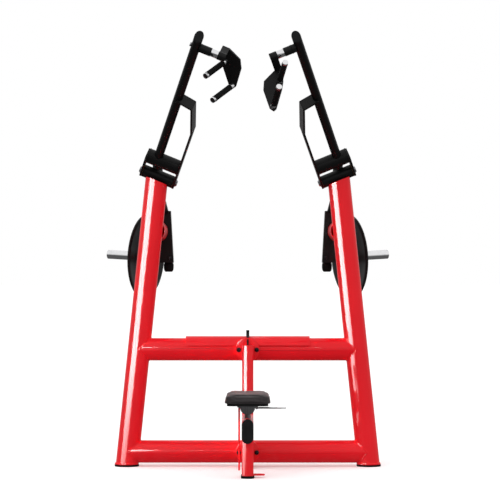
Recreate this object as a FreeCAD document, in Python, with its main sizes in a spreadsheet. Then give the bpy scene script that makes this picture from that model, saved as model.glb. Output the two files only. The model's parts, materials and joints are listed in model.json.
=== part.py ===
"""Plate-loaded lat pulldown machine with two independent levers.

Millimetres. +Z is up, the user sits facing +Y, and -X is the left side.
The uprights stand in one plane, and the origin ends up on the floor under the
middle of the whole machine.
"""
import FreeCAD, Part
import Sketcher
import os
from math import cos, radians, sin, tan

from FreeCAD import Placement, Rotation, Vector

SIZES = {
    # frame tubes
    "tube_diameter": 114, "tube_wall": 3,
    "foot_half_span": 613.7, "upright_lean": 5.94,
    "upper_rail_height": 593, "lower_rail_height": 74.6,
    "beam_height": 1195, "beam_end": 430, "beam_inset": 12,
    "leg_diameter": 60, "leg_inset": 80,
    # feet
    "flange_rim": 3.5, "flange_thickness": 8, "leg_flange_rim": 12,
    "pad_rim": 5, "pad_height": 10, "leg_pad_rim": 14,
    "flange_diameter": "=tube_diameter + 2 * flange_rim",
    "pad_diameter": "=tube_diameter + 2 * pad_rim",
    "leg_flange_diameter": "=leg_diameter + 2 * leg_flange_rim",
    "leg_pad_diameter": "=leg_diameter + 2 * leg_pad_rim",
    # saddle cover on the upper rail
    "cover_half_length": 313.7, "cover_thickness": 10, "cover_front_rise": 21,
    "bracket_radius": 86, "bracket_thickness": 8, "knob_diameter": 16, "knob_rise": 12,
    # seat column, beam and leg: one flat-oval tube
    "oval_width": 57, "oval_depth": 118, "oval_wall": 3,
    "column_gap": 10, "column_foot": 15, "column_rise": 24,
    "boss_diameter": 120, "boss_setback": 5, "boss_bolt_span": 90, "bolt_diameter": 12,
    "bolt_head_diameter": 23, "bolt_head_height": 7, "bolt_length": 30,
    "seat_beam_base": 170, "seat_beam_end": 700, "cap_thickness": 5,
    "front_leg_inset": 89, "front_pad_height": 12, "front_pad_rim": 4,
    "tab_reach": 83, "tab_width": 50, "tab_thickness": 6, "anchor_diameter": 12,
    # seat
    "seat_shift": 8, "cushion_width": 222, "cushion_depth": 364, "seat_rise": 78,
    "cushion_thickness": 40, "cushion_corner": 30, "board_width": 198, "board_depth": 336,
    "board_thickness": 12, "post_diameter": 28, "post_length": 250, "slide_clearance": 0.3,
    "saddle_radius": 36, "saddle_length": 150, "saddle_plate_thickness": 11,
    "saddle_plate_width": 100, "rack_thickness": 9, "rack_depth": 40, "rack_length": 307,
    "rack_gap": 8, "notch_diameter": 12, "notch_spacing": 32,
    "trip_diameter": 9, "trip_reach": 185, "trip_drop": 7, "trip_pivot": 44,
    "trip_eye_diameter": 14, "trip_eye_width": 16, "trip_pin_diameter": 6,
    "paddle_length": 46, "paddle_width": 17, "paddle_thickness": 5,
    # pivot of a lever
    "pivot_height": 1471, "pivot_inset": 7.6, "pivot_tilt": 22, "pivot_lean": 50,
    "housing_diameter": 63, "housing_length": 164, "end_clearance": 1,
    "upright_top_drop": 24, "axle_diameter": 30, "axle_head_diameter": 38, "axle_head": 7,
    "bush_diameter": 44, "bush_length": 30, "running_clearance": 0.05,
    # lever, front part
    "plate_width": 65, "plate_thickness": 10, "side_plate_length": 138,
    "cross_tube_diameter": 75, "cross_tube_reach": 120,
    "arm_diameter": 45, "arm_wall": 3, "arm_offset": 32, "arm_reach": 1040,
    "strap_straight": 420, "strap_bend_reach": 585, "strap_bend_offset": 50,
    "strap_end_reach": 602, "arm_cap_thickness": 6,
    # handle
    "hub_reach": 980, "hub_diameter": 42, "hub_length": 53, "washer_thickness": 3,
    "spindle_diameter": 38, "spindle_length": 35, "shaft_diameter": 20,
    "handle_boss_length": 36, "handle_boss_diameter": 42, "handle_thickness": 10,
    "blade_drop": 64, "blade_setback": 78, "blade_lean": 31,
    "grip_diameter": 29, "grip_length": 134, "grip_core_diameter": 20,
    "grip_collar_length": 6, "grip_collar_diameter": 28, "grip_end_length": 13,
    "left_swing": 70,
    # lever, rear part
    "rear_arm_diameter": 50, "rear_arm_wall": 4, "rear_arm_rise": 62, "knee_drop": 93,
    "carrier_inset": 37.366, "carrier_rise": 108, "carrier_drop": 165, "carrier_top_width": 66,
    "carrier_base_width": 96, "carrier_depth": 90, "carrier_wall": 6,
    "stop_pad_diameter": 70, "stop_pad_thickness": 20, "stop_gap": 0.3,
    "bumper_diameter": 53, "bumper_length": 48, "bumper_shift": 22,
    "horn_diameter": 48, "horn_span": 305, "horn_drop": 138, "horn_splay": 22.4,
    "horn_rise": 3, "horn_flat": 216, "horn_root_diameter": 56,
    "disc_diameter": 450, "disc_thickness": 12,
}

doc = FreeCAD.newDocument("lat_pulldown")
sheet = doc.addObject("Spreadsheet::Sheet", "sizes")
for row, (alias, value) in enumerate(SIZES.items(), start=1):
    sheet.set(f"A{row}", alias)
    sheet.setAlias(f"B{row}", alias)
    sheet.set(f"B{row}", str(value))
doc.recompute()

X, Y, Z = Vector(1, 0, 0), Vector(0, 1, 0), Vector(0, 0, 1)
LEFT, RIGHT = -1, 1
SIDES = {"left": LEFT, "right": RIGHT}
parts = {}


# ---- helpers -------------------------------------------------------------

def size(alias):
    """The value of one cell of the sheet."""
    return float(sheet.get(alias))


def keep(label, thing, placement=None):
    """Name a finished sub-part, and place it."""
    thing.Label = label
    if placement is not None:
        thing.Placement = placement
    parts[label] = thing
    return thing


def toward(start, direction):
    """A placement at start whose Z looks along direction."""
    return Placement(start, Rotation(Z, direction))


def axes_at(origin, x_axis, y_axis):
    """A placement at origin with the given X and Y axes."""
    return Placement(origin, Rotation(x_axis, y_axis, x_axis.cross(y_axis), "ZXY"))


def rod(diameter, start, end, grow="0"):
    """A cylinder between two points, with its diameter bound to the sheet."""
    cylinder = doc.addObject("Part::Cylinder", "rod")
    cylinder.setExpression("Radius", f"sizes.{diameter} / 2 + ({grow})")
    cylinder.Height = (end - start).Length
    cylinder.Placement = toward(start, end - start)
    return cylinder


def disc(diameter, thickness, start, direction):
    """A flat cylinder, with its diameter and its thickness bound to the sheet."""
    cylinder = doc.addObject("Part::Cylinder", "disc")
    cylinder.setExpression("Radius", f"sizes.{diameter} / 2")
    cylinder.setExpression("Height", f"sizes.{thickness}")
    cylinder.Placement = toward(start, direction)
    return cylinder


def block(placement, length, width, height):
    """A box on the XY plane of its placement, centred in X and Y."""
    box = doc.addObject("Part::Box", "block")
    box.setExpression("Length", str(length))
    box.setExpression("Width", str(width))
    box.setExpression("Height", str(height))
    doc.recompute()
    corner = Placement(Vector(-box.Length.Value / 2, -box.Width.Value / 2, 0), Rotation())
    box.Placement = placement.multiply(corner)
    return box


def fuse(*things):
    joined = doc.addObject("Part::MultiFuse", "joined")
    joined.Shapes = list(things)
    return joined


def cut(base, *tools):
    rest = doc.addObject("Part::Cut", "rest")
    rest.Base = base
    rest.Tool = tools[0] if len(tools) == 1 else fuse(*tools)
    return rest


def common(first, second):
    both = doc.addObject("Part::MultiCommon", "both")
    both.Shapes = [first, second]
    return both


def tube(diameter, wall, start, end, *trims):
    """An open tube between two points, trimmed by the given tools."""
    bore = rod(diameter, start, end, grow=f"-sizes.{wall}")
    return cut(rod(diameter, start, end), bore, *trims)


def bent_rod(diameter, points, grow="0"):
    """Straight rods through the points, with a ball at each bend."""
    pieces = [rod(diameter, a, b, grow) for a, b in zip(points, points[1:])]
    for point in points[1:-1]:
        ball = doc.addObject("Part::Sphere", "ball")
        ball.setExpression("Radius", f"sizes.{diameter} / 2 + ({grow})")
        ball.Placement = Placement(point, Rotation())
        pieces.append(ball)
    return fuse(*pieces)


def line(a, b):
    return Part.LineSegment(Vector(*a, 0), Vector(*b, 0))


def arc(centre, radius, start, end):
    circle = Part.Circle(Vector(*centre, 0), Z, radius)
    return Part.ArcOfCircle(circle, radians(start), radians(end))


def polygon(points):
    return [line(a, b) for a, b in zip(points, points[1:] + points[:1])]


def oval(width, depth):
    """A flat oval, round at both ends of its depth."""
    r = width / 2
    straight = depth / 2 - r
    return [arc((0, straight), r, 0, 180), line((-r, straight), (-r, -straight)),
            arc((0, -straight), r, 180, 360), line((r, -straight), (r, straight))]


def rounded_rectangle(width, depth, radius):
    w, d = width / 2, depth / 2
    a, b = w - radius, d - radius
    return [line((-a, -d), (a, -d)), arc((a, -b), radius, 270, 360),
            line((w, -b), (w, b)), arc((a, b), radius, 0, 90),
            line((a, d), (-a, d)), arc((-a, b), radius, 90, 180),
            line((-w, b), (-w, -b)), arc((-a, -b), radius, 180, 270)]


def join_ends(sketch, first, last):
    """Tie the touching ends of one closed chain of edges in a sketch."""
    chain = list(range(first, last))
    for edge, following in zip(chain, chain[1:] + chain[:1]):
        for end in (1, 2):
            for start in (1, 2):
                gap = sketch.getPoint(edge, end) - sketch.getPoint(following, start)
                if gap.Length < 1e-6:
                    tie = Sketcher.Constraint("Coincident", edge, end, following, start)
                    sketch.addConstraint(tie)


def padded_body(outlines, thickness, placement, midplane=False):
    """A body that pads closed outlines on its XY plane by a size of the sheet."""
    body = doc.addObject("PartDesign::Body", "body")
    sketch = body.newObject("Sketcher::SketchObject", "outline")
    base_plane = [f for f in body.Origin.OriginFeatures if f.Role == "XY_Plane"][0]
    sketch.AttachmentSupport = [(base_plane, "")]
    sketch.MapMode = "FlatFace"
    for edges in outlines:
        first = sketch.GeometryCount
        for edge in edges:
            sketch.addGeometry(edge, False)
        join_ends(sketch, first, sketch.GeometryCount)
    pad = body.newObject("PartDesign::Pad", "pad")
    pad.Profile = sketch
    pad.setExpression("Length", str(thickness))
    pad.Midplane = midplane
    body.Placement = placement
    return body


# ---- places that several pieces share --------------------------------------

lean = radians(size("upright_lean"))
tilt = radians(size("pivot_tilt"))
forward = radians(size("pivot_lean"))
tube_radius = size("tube_diameter") / 2
floor_clear = size("pad_height") + size("flange_thickness")
upright_top = size("pivot_height") + size("tube_diameter")
boss_face = -(tube_radius + size("column_gap"))
column_y = boss_face - size("oval_depth") / 2
column_top = size("upper_rail_height") + size("column_rise")
knob_top = size("upper_rail_height") + size("bracket_radius") + size("knob_rise")
seat_beam_axis = size("seat_beam_base") + size("oval_depth") / 2
front_leg_y = size("front_leg_inset") - size("seat_beam_end")
seat_y = front_leg_y + size("seat_shift")
cushion_base = size("seat_beam_base") + size("oval_depth") + size("seat_rise")
saddle_top = cushion_base - size("board_thickness")
saddle_base = saddle_top - size("saddle_plate_thickness")


def upright_x(height, side):
    return side * (size("foot_half_span") - height * tan(lean))


def on_upright(height, side):
    return Vector(upright_x(height, side), 0, height)


def side_vectors(side):
    """Inward axle direction and the direction that leads up from the pivot."""
    along = Vector(-side * cos(tilt), 0, -sin(tilt))
    up = Vector(-side * sin(tilt), 0, cos(tilt))
    return along, up


def pivot(side):
    x = abs(upright_x(size("pivot_height"), side)) - size("pivot_inset")
    return Vector(side * x, 0, size("pivot_height"))


def at_lever(side, up=0.0, back=0.0, inward=0.0):
    """A point given from the pivot: up, back and inward along its axle."""
    along, rise = side_vectors(side)
    return pivot(side) + rise * up + Y * back + along * inward


def on_arm(side, reach, inward=0.0):
    """A point at a distance from the pivot along the arm's line."""
    return at_lever(side, reach * cos(forward), -reach * sin(forward), inward)


def arm_vectors(side):
    """Along the arm, and across its flat pieces."""
    rise = side_vectors(side)[1]
    along_arm = rise * cos(forward) - Y * sin(forward)
    across = rise * sin(forward) + Y * cos(forward)
    return along_arm, across


plate_middle = (size("housing_length") / 2 + size("end_clearance")
                + size("plate_thickness") / 2)
plate_inner = plate_middle - size("plate_thickness") / 2
plate_outer = plate_middle + size("plate_thickness") / 2


# ---- frame -------------------------------------------------------------------

def housing_rod(side):
    along = side_vectors(side)[0]
    half = size("housing_length") / 2
    return rod("housing_diameter", pivot(side) - along * half, pivot(side) + along * half)


def upright_rod(side):
    return rod("tube_diameter", on_upright(-50, side), on_upright(upright_top, side))


def boss_bolt_holes(height):
    """The two bolt holes through a boss and the rail behind it."""
    span = size("boss_bolt_span") / 2
    return [rod("bolt_diameter", Vector(x, boss_face - 1, height),
                Vector(x, boss_face + size("bolt_length"), height)) for x in (-span, span)]


def build_uprights():
    for name, side in SIDES.items():
        along, rise = side_vectors(side)
        top_cut = block(axes_at(pivot(side) - rise * size("upright_top_drop"), along * -side, Y),
                        600, 400, 400)
        foot_cut = block(Placement(Vector(upright_x(0, side), 0, floor_clear - 200),
                                   Rotation()), 400, 400, 200)
        upright = tube("tube_diameter", "tube_wall", on_upright(-50, side),
                       on_upright(upright_top, side), top_cut, foot_cut, housing_rod(side))
        keep(f"upright_{name}", upright)


def build_rails():
    for label, alias in (("upper_rail", "upper_rail_height"), ("lower_rail", "lower_rail_height")):
        height = size(alias)
        rail = tube("tube_diameter", "tube_wall", on_upright(height, LEFT),
                    on_upright(height, RIGHT), upright_rod(LEFT), upright_rod(RIGHT),
                    *boss_bolt_holes(height))
        keep(label, rail)


def boss_rod(height):
    """The round boss between a rail and the column, before the rail is cut out of it."""
    return rod("boss_diameter", Vector(0, boss_face, height),
               Vector(0, -size("boss_setback"), height))


def rail_cover_rod():
    """The outside of the saddle cover, as a full round along the upper rail."""
    height = size("upper_rail_height")
    half = Vector(size("cover_half_length"), 0, 0)
    axis = Vector(0, 0, height)
    return rod("tube_diameter", axis - half, axis + half, grow="sizes.cover_thickness")


def half_moon():
    """The plate that straddles the upper rail, before the rail is cut out of it."""
    radius = size("bracket_radius")
    outline = [arc((0, 0), radius, 0, 180), line((-radius, 0), (0, 0)), line((0, 0), (radius, 0))]
    place = axes_at(Vector(0, 0, size("upper_rail_height")), Y, Z)
    return padded_body([outline], "sizes.bracket_thickness", place, midplane=True)


def build_cover():
    height = size("upper_rail_height")
    rail = rod("tube_diameter", on_upright(height, LEFT), on_upright(height, RIGHT))
    below = block(Placement(Vector(0, 0, height + size("cover_front_rise") - 200), Rotation()),
                  "3 * sizes.cover_half_length", 400, 200)
    keep("rail_cover", cut(rail_cover_rod(), rail, below, half_moon(), boss_rod(height)))
    knob_y = -size("knob_diameter")
    knob = rod("knob_diameter", Vector(0, knob_y, height), Vector(0, knob_y, knob_top))
    knob_head = cut(knob, rail_cover_rod(), half_moon())
    column = block(Placement(Vector(0, column_y, 0), Rotation()), "sizes.oval_width",
                   "sizes.oval_depth", column_top)
    keep("cover_bracket", fuse(cut(half_moon(), rail, boss_rod(height), column), knob_head))


def build_pivot_housings():
    for name, side in SIDES.items():
        along = side_vectors(side)[0]
        half = size("housing_length") / 2
        ends = [pivot(side) - along * half, pivot(side) + along * half]
        bore = rod("bush_diameter", *ends)
        keep(f"pivot_housing_{name}", cut(housing_rod(side), bore))


def build_pivot_bushes():
    bushes = []
    for side in SIDES.values():
        along = side_vectors(side)[0]
        outer_end = size("housing_length") / 2
        inner_end = outer_end - size("bush_length")
        for way in (-1, 1):
            start = pivot(side) + along * way * inner_end
            end = pivot(side) + along * way * outer_end
            bore = rod("axle_diameter", start, end, grow="sizes.running_clearance")
            bushes.append(cut(rod("bush_diameter", start, end), bore))
    keep("pivot_bushes", fuse(*bushes))


def beam_x():
    return abs(upright_x(size("beam_height"), RIGHT)) - size("beam_inset")


def beam_rod(side):
    start = Vector(side * beam_x(), 0, size("beam_height"))
    return rod("tube_diameter", start, start + Y * size("beam_end"))


def build_stop_beams():
    pads = []
    for name, side in SIDES.items():
        start = Vector(side * beam_x(), 0, size("beam_height"))
        wall = size("tube_wall")
        bore = rod("tube_diameter", start, start + Y * (size("beam_end") - wall), f"-{wall}")
        keep(f"stop_beam_{name}", cut(beam_rod(side), bore, upright_rod(side)))
        pads.append(disc("stop_pad_diameter", "stop_pad_thickness",
                         start + Y * size("beam_end"), Y))
    keep("stop_pads", fuse(*pads))


def leg_point(height, side):
    """A point on a rear leg, which leans like the upright in front of it."""
    x = beam_x() + (size("beam_height") - height) * tan(lean)
    return Vector(side * x, size("beam_end") - size("leg_inset"), height)


def build_rear_legs():
    for name, side in SIDES.items():
        foot_cut = block(Placement(leg_point(floor_clear - 200, side), Rotation()), 400, 400, 200)
        leg = tube("leg_diameter", "tube_wall", leg_point(-50, side),
                   leg_point(size("beam_height"), side), beam_rod(side), foot_cut)
        keep(f"rear_leg_{name}", leg)


def build_feet():
    """The steel foot plates and the rubber pads, each as one group."""
    flanges = [floor_tab()]
    pads = [front_pad()]
    for side in SIDES.values():
        for foot, flange, pad in (
                (on_upright(0, side), "flange_diameter", "pad_diameter"),
                (leg_point(0, side), "leg_flange_diameter", "leg_pad_diameter")):
            flanges.append(disc(flange, "flange_thickness", foot + Z * size("pad_height"), Z))
            pads.append(disc(pad, "pad_height", foot, Z))
    keep("foot_plates", fuse(*flanges))
    keep("foot_pads", fuse(*pads))


def build_column():
    bosses = []
    bolts = []
    for alias in ("upper_rail_height", "lower_rail_height"):
        height = size(alias)
        holes = boss_bolt_holes(height)
        rail = rod("tube_diameter", Vector(-200, 0, height), Vector(200, 0, height))
        bosses.append(cut(boss_rod(height), rail, *holes))
        for x in (-size("boss_bolt_span") / 2, size("boss_bolt_span") / 2):
            seat = Vector(x, boss_face, height)
            bolts.append(rod("bolt_diameter", seat, seat + Y * size("bolt_length")))
            bolts.append(disc("bolt_head_diameter", "bolt_head_height", seat, -Y))
    keep("column_bosses", fuse(*bosses))
    keep("frame_bolts", fuse(*bolts))
    width, depth, wall = size("oval_width"), size("oval_depth"), size("oval_wall")
    shell = [oval(width, depth), oval(width - 2 * wall, depth - 2 * wall)]
    foot = Placement(Vector(0, column_y, size("column_foot")), Rotation())
    walls = padded_body(shell, f"{column_top} - sizes.column_foot - sizes.oval_wall", foot)
    lid_at = Placement(Vector(0, column_y, column_top - wall), Rotation())
    keep("seat_column", fuse(walls, padded_body([oval(width, depth)], "sizes.oval_wall", lid_at)))


def post_hole():
    top = Vector(0, seat_y, saddle_base)
    return rod("post_diameter", top - Z * size("post_length"), top, "sizes.slide_clearance")


def build_seat_beam():
    width, depth, wall = size("oval_width"), size("oval_depth"), size("oval_wall")
    shell = [oval(width, depth), oval(width - 2 * wall, depth - 2 * wall)]
    # the beam reaches into the round front of the column, which is cut out of it
    nose_y = column_y - depth / 2 + width / 2
    back_end = axes_at(Vector(0, nose_y, seat_beam_axis), X, Z)
    nose = rod("oval_width", Vector(0, nose_y, 0), Vector(0, nose_y, column_top))
    beam = padded_body(shell, f"sizes.seat_beam_end + {nose_y}", back_end)
    keep("seat_beam", cut(beam, nose, post_hole()))
    front_end = axes_at(Vector(0, -size("seat_beam_end"), seat_beam_axis), X, Z)
    keep("beam_cap", padded_body([oval(width, depth)], "sizes.cap_thickness", front_end))


def build_front_leg():
    width, depth, wall = size("oval_width"), size("oval_depth"), size("oval_wall")
    shell = [oval(width, depth), oval(width - 2 * wall, depth - 2 * wall)]
    foot_z = size("front_pad_height")
    foot = Placement(Vector(0, front_leg_y, foot_z), Rotation())
    leg = padded_body(shell, "sizes.seat_beam_base + sizes.oval_width / 2 - sizes.front_pad_height",
                      foot)
    belly_z = size("seat_beam_base") + width / 2
    belly = rod("oval_width", Vector(0, -900, belly_z), Vector(0, 0, belly_z))
    keep("front_leg", cut(leg, belly))


def front_pad():
    rim = 2 * size("front_pad_rim")
    outline = oval(size("oval_width") + rim, size("oval_depth") + rim)
    return padded_body([outline], "sizes.front_pad_height",
                       Placement(Vector(0, front_leg_y, 0), Rotation()))


def floor_tab():
    """A tongue beside the front leg, drilled for a floor anchor."""
    half = size("tab_width") / 2
    end = size("tab_reach") - size("oval_width") / 2 - half
    root = Vector(size("oval_width") / 2, front_leg_y, size("front_pad_height"))
    outline = [line((0, -half), (end, -half)), arc((end, 0), half, -90, 90),
               line((end, half), (0, half)), line((0, half), (0, -half))]
    tab = padded_body([outline], "sizes.tab_thickness", Placement(root, Rotation()))
    hole_at = root + X * end
    hole = rod("anchor_diameter", hole_at - Z, hole_at + Z * (size("tab_thickness") + 1))
    return cut(tab, hole)


# ---- seat --------------------------------------------------------------------

def build_seat():
    centre = Vector(0, seat_y, 0)
    cushion = rounded_rectangle(size("cushion_width"), size("cushion_depth"), size("cushion_corner"))
    keep("seat_cushion", padded_body([cushion], "sizes.cushion_thickness",
                                     Placement(centre + Z * cushion_base, Rotation())))
    board = rounded_rectangle(size("board_width"), size("board_depth"), size("cushion_corner"))
    keep("seat_board", padded_body([board], "sizes.board_thickness",
                                   Placement(centre + Z * saddle_top, Rotation())))
    length = size("saddle_length")
    plate = block(Placement(centre + Z * saddle_base, Rotation()), "sizes.saddle_plate_width",
                  "sizes.saddle_length", "sizes.saddle_plate_thickness")
    half_round = rod("saddle_radius", centre + Vector(0, -length / 2, saddle_base),
                     centre + Vector(0, length / 2, saddle_base), "sizes.saddle_radius / 2")
    above = block(Placement(centre + Z * saddle_base, Rotation()), 200, 400, 100)
    keep("seat_bracket", fuse(plate, cut(half_round, above), *trip_ears()))
    post_top = centre + Z * (saddle_base - size("saddle_radius"))
    post = rod("post_diameter", post_top - Z * size("post_length"), post_top)
    keep("seat_post", post)
    build_rack(centre)


def trip_axis():
    return Vector(size("trip_pivot"), seat_y, saddle_base - size("trip_drop"))


def trip_ears():
    """Two ears under the saddle plate and the pin between them."""
    gap = size("trip_eye_width") / 2 + 1
    pieces = [rod("trip_pin_diameter", trip_axis() - Y * gap, trip_axis() + Y * gap)]
    for way in (-1, 1):
        middle = trip_axis() + Y * way * (gap + 2)
        base = Vector(middle.x, middle.y, middle.z - size("trip_pin_diameter") / 2 - 2)
        pieces.append(block(Placement(base, Rotation()), 12, 4, saddle_base - base.z))
    return pieces


def build_rack(centre):
    """The notched plate beside the leg, which sets the seat's height."""
    thickness = size("rack_thickness")
    x = size("oval_width") / 2 + size("rack_gap") + thickness / 2
    foot = centre + Vector(-x, 0, saddle_base - size("rack_length"))
    rack = block(Placement(foot, Rotation()), "sizes.rack_thickness", "sizes.rack_depth",
                 "sizes.rack_length")
    notches = []
    notch = size("notch_spacing")
    while notch < size("rack_length") - size("notch_spacing") * 2:
        at = foot + Vector(0, -size("rack_depth") / 2, notch)
        notches.append(rod("notch_diameter", at - X * thickness, at + X * thickness))
        notch += size("notch_spacing")
    keep("seat_rack", cut(rack, *notches))


def build_trip_lever():
    axis = trip_axis()
    half = size("trip_eye_width") / 2
    eye = rod("trip_eye_diameter", axis - Y * half, axis + Y * half)
    tip = Vector(size("trip_reach"), axis.y, axis.z)
    bar = rod("trip_diameter", axis, tip - X * size("paddle_length") / 2)
    paddle = block(Placement(tip - X * size("paddle_length") / 2
                             - Z * size("paddle_thickness") / 2, Rotation()),
                   "sizes.paddle_length", "sizes.paddle_width", "sizes.paddle_thickness")
    hole = rod("trip_pin_diameter", axis - Y * half, axis + Y * half, "sizes.running_clearance")
    keep("seat_trip_lever", cut(fuse(eye, bar, paddle), hole))


# ---- levers ------------------------------------------------------------------

def axle_rod(side, grow="0"):
    return rod("axle_diameter", at_lever(side, inward=-plate_outer),
               at_lever(side, inward=plate_outer), grow)


def cross_tube_rod(side):
    return rod("cross_tube_diameter", on_arm(side, size("cross_tube_reach"), -plate_inner),
               on_arm(side, size("cross_tube_reach"), plate_inner))


def arm_stock():
    """The arm tube's length before its end is cut."""
    return size("arm_reach") + 4 * size("arm_diameter")


def arm_rod(side):
    inward = -size("arm_offset")
    return rod("arm_diameter", on_arm(side, 0, inward), on_arm(side, arm_stock(), inward))


def strip(side, start, end, overlap=0.0):
    """A length of the lever's flat bar between two (reach, inward) points of its middle."""
    along_axle = side_vectors(side)[0]
    along_arm, across = arm_vectors(side)
    step = along_arm * (end[0] - start[0]) + along_axle * (end[1] - start[1])
    direction = Vector(step)
    direction.normalize()
    base = on_arm(side, *start) - direction * overlap
    return block(Placement(base, Rotation(direction.cross(across), across, direction, "ZXY")),
                 "sizes.plate_thickness", "sizes.plate_width", step.Length + 2 * overlap)


def rounded_foot(side, inward):
    """The round end of a flat bar about the axle."""
    half = size("plate_thickness") / 2
    return rod("plate_width", at_lever(side, inward=inward - half),
               at_lever(side, inward=inward + half))


def build_lever_front(name, side):
    along = side_vectors(side)[0]
    heads = [disc("axle_head_diameter", "axle_head", at_lever(side, inward=way * plate_outer),
                  along * way) for way in (-1, 1)]
    keep(f"pivot_axle_{name}", fuse(axle_rod(side), *heads))
    side_bar = fuse(rounded_foot(side, -plate_middle),
                    strip(side, (0, -plate_middle), (size("side_plate_length"), -plate_middle)))
    keep(f"side_plate_{name}", cut(side_bar, axle_rod(side)))
    straight = size("strap_straight")
    bend = (size("strap_bend_reach"), size("strap_bend_offset"))
    mend = size("plate_thickness") * 0.3
    strap = fuse(rounded_foot(side, plate_middle),
                 strip(side, (0, plate_middle), (straight, plate_middle)),
                 strip(side, (straight, plate_middle), bend, mend),
                 strip(side, bend, (size("strap_end_reach"), -size("arm_offset"))))
    keep(f"strap_{name}", cut(strap, axle_rod(side), arm_rod(side)))
    keep(f"cross_tube_{name}",
         cut(cross_tube_rod(side), arm_rod(side),
             rod("cross_tube_diameter", on_arm(side, size("cross_tube_reach"), -plate_inner),
                 on_arm(side, size("cross_tube_reach"), plate_inner), "-sizes.arm_wall * 2")))
    build_arm(name, side)


def build_arm(name, side):
    inward = -size("arm_offset")
    top = on_arm(side, size("arm_reach"), inward)
    beyond = block(axes_at(Vector(top.x, top.y, top.z), X, Z), 400, 400, 400)
    arm = tube("arm_diameter", "arm_wall", on_arm(side, size("cross_tube_reach"), inward),
               on_arm(side, arm_stock(), inward), beyond)
    keep(f"arm_tube_{name}", arm)
    slab = block(axes_at(top, X, Z), 400, 400, "sizes.arm_cap_thickness")
    keep(f"arm_cap_{name}", common(arm_rod(side), slab))


def build_hub(name, side):
    reach = size("hub_reach")
    face = -size("arm_offset") + size("arm_diameter") / 2
    washer_end = face + size("washer_thickness")
    hub_end = washer_end + size("hub_length")
    hub = rod("hub_diameter", on_arm(side, reach, face - size("washer_thickness")),
              on_arm(side, reach, hub_end))
    bore = rod("shaft_diameter", on_arm(side, reach, washer_end), on_arm(side, reach, hub_end),
               "sizes.running_clearance")
    keep(f"handle_hub_{name}", cut(hub, bore, arm_rod(side)))
    return washer_end, hub_end


def handle_axes(name, side):
    """Away from the hub, and out of the plate on the side of the grips."""
    rise = side_vectors(side)[1]
    swing = radians(size("left_swing")) if name == "left" else 0.0
    away = rise * -cos(swing) + Y * sin(swing)
    out = Y * -cos(swing) - rise * sin(swing)
    return away, out


def build_handle(name, side):
    washer_end, hub_end = build_hub(name, side)
    along = side_vectors(side)[0]
    away, out = handle_axes(name, side)
    reach = size("hub_reach")
    spindle_end = hub_end + size("end_clearance") + size("spindle_length")
    half_boss = size("handle_boss_length") / 2
    middle = spindle_end + half_boss
    spindle = rod("spindle_diameter", on_arm(side, reach, hub_end + size("end_clearance")),
                  on_arm(side, reach, spindle_end))
    shaft = rod("shaft_diameter", on_arm(side, reach, washer_end + size("end_clearance")),
                on_arm(side, reach, spindle_end))
    keep(f"handle_spindle_{name}", fuse(spindle, shaft))
    origin = on_arm(side, reach, middle)
    drop, setback = size("blade_drop"), size("blade_setback")
    neck_vector = away * drop - out * setback
    neck_length = neck_vector.Length
    lap = size("handle_thickness") / 2
    neck_outline = [(-half_boss, 0), (half_boss, 0), (half_boss, neck_length + lap),
                    (-half_boss, neck_length + lap)]
    neck_vector.normalize()
    neck = padded_body([polygon(neck_outline)], "sizes.handle_thickness",
                       axes_at(origin, along, neck_vector), midplane=True)
    blade_lean = radians(size("blade_lean"))
    down = away * cos(blade_lean) + out * sin(blade_lean)
    face = out * cos(blade_lean) - away * sin(blade_lean)
    top = origin + neck_vector * neck_length
    # (inward, down) points of the blade, seen from the grips
    outline = [(-half_boss, -lap), (half_boss, -lap), (85, 30), (105, 78), (111, 184),
               (98, 208), (82, 201), (22, 112), (0, 70), (-half_boss, 14)]
    blade = padded_body([polygon(outline)], "sizes.handle_thickness",
                        axes_at(top, along, down), midplane=True)
    boss = rod("handle_boss_diameter", on_arm(side, reach, spindle_end),
               on_arm(side, reach, spindle_end + 2 * half_boss))
    keep(f"handle_plate_{name}", fuse(neck, blade, boss))
    build_grips(name, top, along, down, face, away * -0.415 + out * 0.842 - along * 0.344)


def build_grips(name, top, along, down, face_normal, direction):
    """Two grips on the blade's face, and the metal that carries them."""
    direction.normalize()
    face = size("handle_thickness") / 2
    collar, sleeve, end = size("grip_collar_length"), size("grip_length"), size("grip_end_length")
    sleeves = []
    metal = []
    for inward_at, down_at in ((20, 70), (92, 186)):
        base = top + along * inward_at + down * down_at + face_normal * face
        # the metal starts inside the plate and is cut off level with its face
        below = block(toward(base - face_normal * 60, face_normal), 200, 200, 60)
        slant = size("grip_collar_diameter")
        root = base - direction * slant
        collar_end = base + direction * (slant / 2 + collar)
        sleeve_end = collar_end + direction * sleeve
        tip = sleeve_end + direction * end
        core = cut(rod("grip_core_diameter", root, tip), below)
        ring = cut(rod("grip_collar_diameter", root, collar_end), below)
        metal.append(fuse(core, ring, rod("grip_collar_diameter", sleeve_end, tip)))
        sleeves.append(cut(rod("grip_diameter", collar_end, sleeve_end),
                           rod("grip_core_diameter", collar_end, sleeve_end)))
    keep(f"grip_sleeves_{name}", fuse(*sleeves))
    keep(f"grip_ends_{name}", fuse(*metal))


# ---- rear of the levers --------------------------------------------------------

def carrier_front():
    return size("beam_end") + size("stop_pad_thickness") + size("stop_gap")


def carrier_x():
    return beam_x() - size("carrier_inset")


def carrier_ends():
    """The heights of the carrier's base and of its top."""
    return size("beam_height") - size("carrier_drop"), size("beam_height") + size("carrier_rise")


def carrier_outline(inset=0.0):
    top, base = size("carrier_top_width") / 2 - inset, size("carrier_base_width") / 2 - inset
    low, high = carrier_ends()
    low, high = low + inset, high - inset
    return polygon([(-top, high), (-base, low), (base, low), (top, high)])


def carrier_solid(side):
    place = axes_at(Vector(side * carrier_x(), carrier_front() + size("carrier_depth"), 0),
                    X, Z)
    return padded_body([carrier_outline()], "sizes.carrier_depth", place)


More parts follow.
